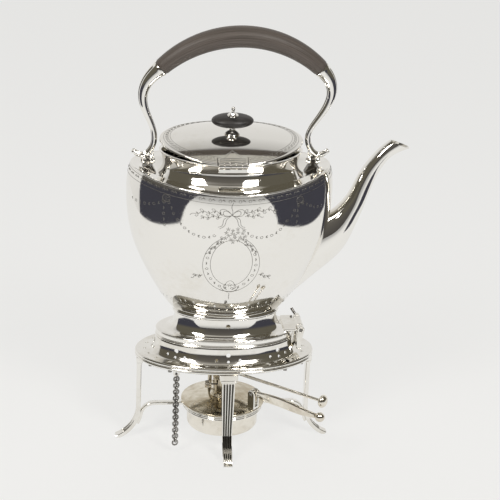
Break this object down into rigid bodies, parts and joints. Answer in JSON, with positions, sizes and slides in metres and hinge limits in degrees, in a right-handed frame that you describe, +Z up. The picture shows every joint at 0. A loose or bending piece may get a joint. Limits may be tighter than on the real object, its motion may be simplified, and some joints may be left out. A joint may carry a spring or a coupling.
{
  "type": "spirit kettle on stand",
  "caption": "Oval silver spirit kettle with hinged lid, swing bail and swan-neck spout, tilting on a pierced four-legged stand that holds a spirit lamp with folding handle and snuffer",
  "frame": {"origin": "centre of the overall box at floor level, under the kettle's spout-side half", "axes": "+Z up, +X towards the spout, -Y towards the lid hinge at the front"},
  "size_m": [0.2176, 0.1205, 0.3294],
  "materials": {
    "silver": "polished silver plate, softly worn",
    "tarnished_silver": "silver browned by heat",
    "steel": "dull dark metal",
    "brass_pin": "dull pin heads",
    "grip_wood": "greyed dark wood, waxed",
    "ebony": "ebony, satin",
    "cotton": "woven cotton wick"
  },
  "bodies": {
    "stand": {"gallery_plate": "silver", "plate_rim": "silver", "lamp_ring": "silver", "pour_bracket": "silver", "chain_staple": "silver", "rim_screws": "steel", "leg_front": "silver", "leg_back": "silver", "leg_left": "silver", "leg_right": "silver", "stretcher_front": "silver", "stretcher_back": "silver", "stretcher_left": "silver", "stretcher_right": "silver"},
    "kettle": {"kettle_body": "silver", "shoulder_collar": "silver", "kettle_foot": "silver", "foot_bead": "silver", "spout": "silver", "pour_knuckle": "silver", "bail_lug_left": "silver", "bail_lug_right": "silver", "bail_pins": "steel", "lid_hinge_leaf": "silver", "lid_hinge_pin": "steel"},
    "hinge_pin": {"pour_pin": "steel"},
    "lid": {"lid_dome": "silver", "lid_hinge_plate": "silver", "finial_base": "silver", "finial_disc": "ebony", "finial_nut": "silver", "finial_stud": "steel", "lid_washer": "steel"},
    "bail": {"bail_arm_left": "silver", "bail_arm_right": "silver", "bail_grip": "grip_wood", "grip_pins": "brass_pin"},
    "lamp": {"lamp_reservoir": "silver", "lamp_cover": "tarnished_silver", "wick_tube": "tarnished_silver", "burner_nut": "tarnished_silver", "snuffer_post": "tarnished_silver", "handle_bracket": "silver", "handle_pin": "steel"},
    "wick": {"wick": "cotton"},
    "winder": {"winder_spindle": "steel", "winder_knob": "steel"},
    "snuffer": {"snuffer_lever": "silver", "snuffer_cap": "silver", "snuffer_knob": "silver"},
    "handle": {"lamp_handle": "silver", "handle_ball": "silver"},
    "chain": {"chain_links": "steel"}
  },
  "joints": [
    {"name": "kettle_pour", "type": "hinge", "parent": "stand", "child": "kettle", "pos_m": [0.03187, 0.00358, 0.0948], "axis": [0, 1, 0], "range_deg": [0, 50]},
    {"name": "hinge_pin_pull", "type": "slide", "parent": "stand", "child": "hinge_pin", "axis": [0, 1, 0], "range_m": [0, 0.032]},
    {"name": "lid_hinge", "type": "hinge", "parent": "kettle", "child": "lid", "pos_m": [-0.02713, -0.03302, 0.2349], "axis": [1, 0, 0], "range_deg": [-10.5, 85]},
    {"name": "bail_swing", "type": "hinge", "parent": "kettle", "child": "bail", "pos_m": [-0.02533, 0.00358, 0.2275], "axis": [1, 0, 0], "range_deg": [-75, 75]},
    {"name": "lamp_lift", "type": "slide", "parent": "stand", "child": "lamp", "axis": [0, 0, 1], "range_m": [0, 0.006]},
    {"name": "handle_fold", "type": "hinge", "parent": "lamp", "child": "handle", "pos_m": [-0.00353, -0.01584, 0.045], "axis": [-0.6652, -0.7466, 0], "range_deg": [0, 30]},
    {"name": "snuffer_swing", "type": "hinge", "parent": "lamp", "child": "snuffer", "pos_m": [-0.03491, 0.01162, 0.0568], "axis": [0, 0, 1], "range_deg": [-30, 20]},
    {"name": "wick_rise", "type": "slide", "parent": "lamp", "child": "wick", "axis": [0, 0, 1], "range_m": [-0.006, 0]},
    {"name": "winder_turn", "type": "hinge", "parent": "lamp", "child": "winder", "pos_m": [-0.02533, -0.00087, 0.0458], "axis": [1, 0, 0], "range_deg": [-362, 0]},
    {"name": "chain_swing", "type": "hinge", "parent": "stand", "child": "chain", "pos_m": [-0.06423, -0.02642, 0.0676], "axis": [0, 1, 0], "range_deg": [-12, 12]}
  ],
  "couplings": [
    {"joint": "winder_turn", "follows": "wick_rise", "rad_per_m": 1052.6}
  ]
}
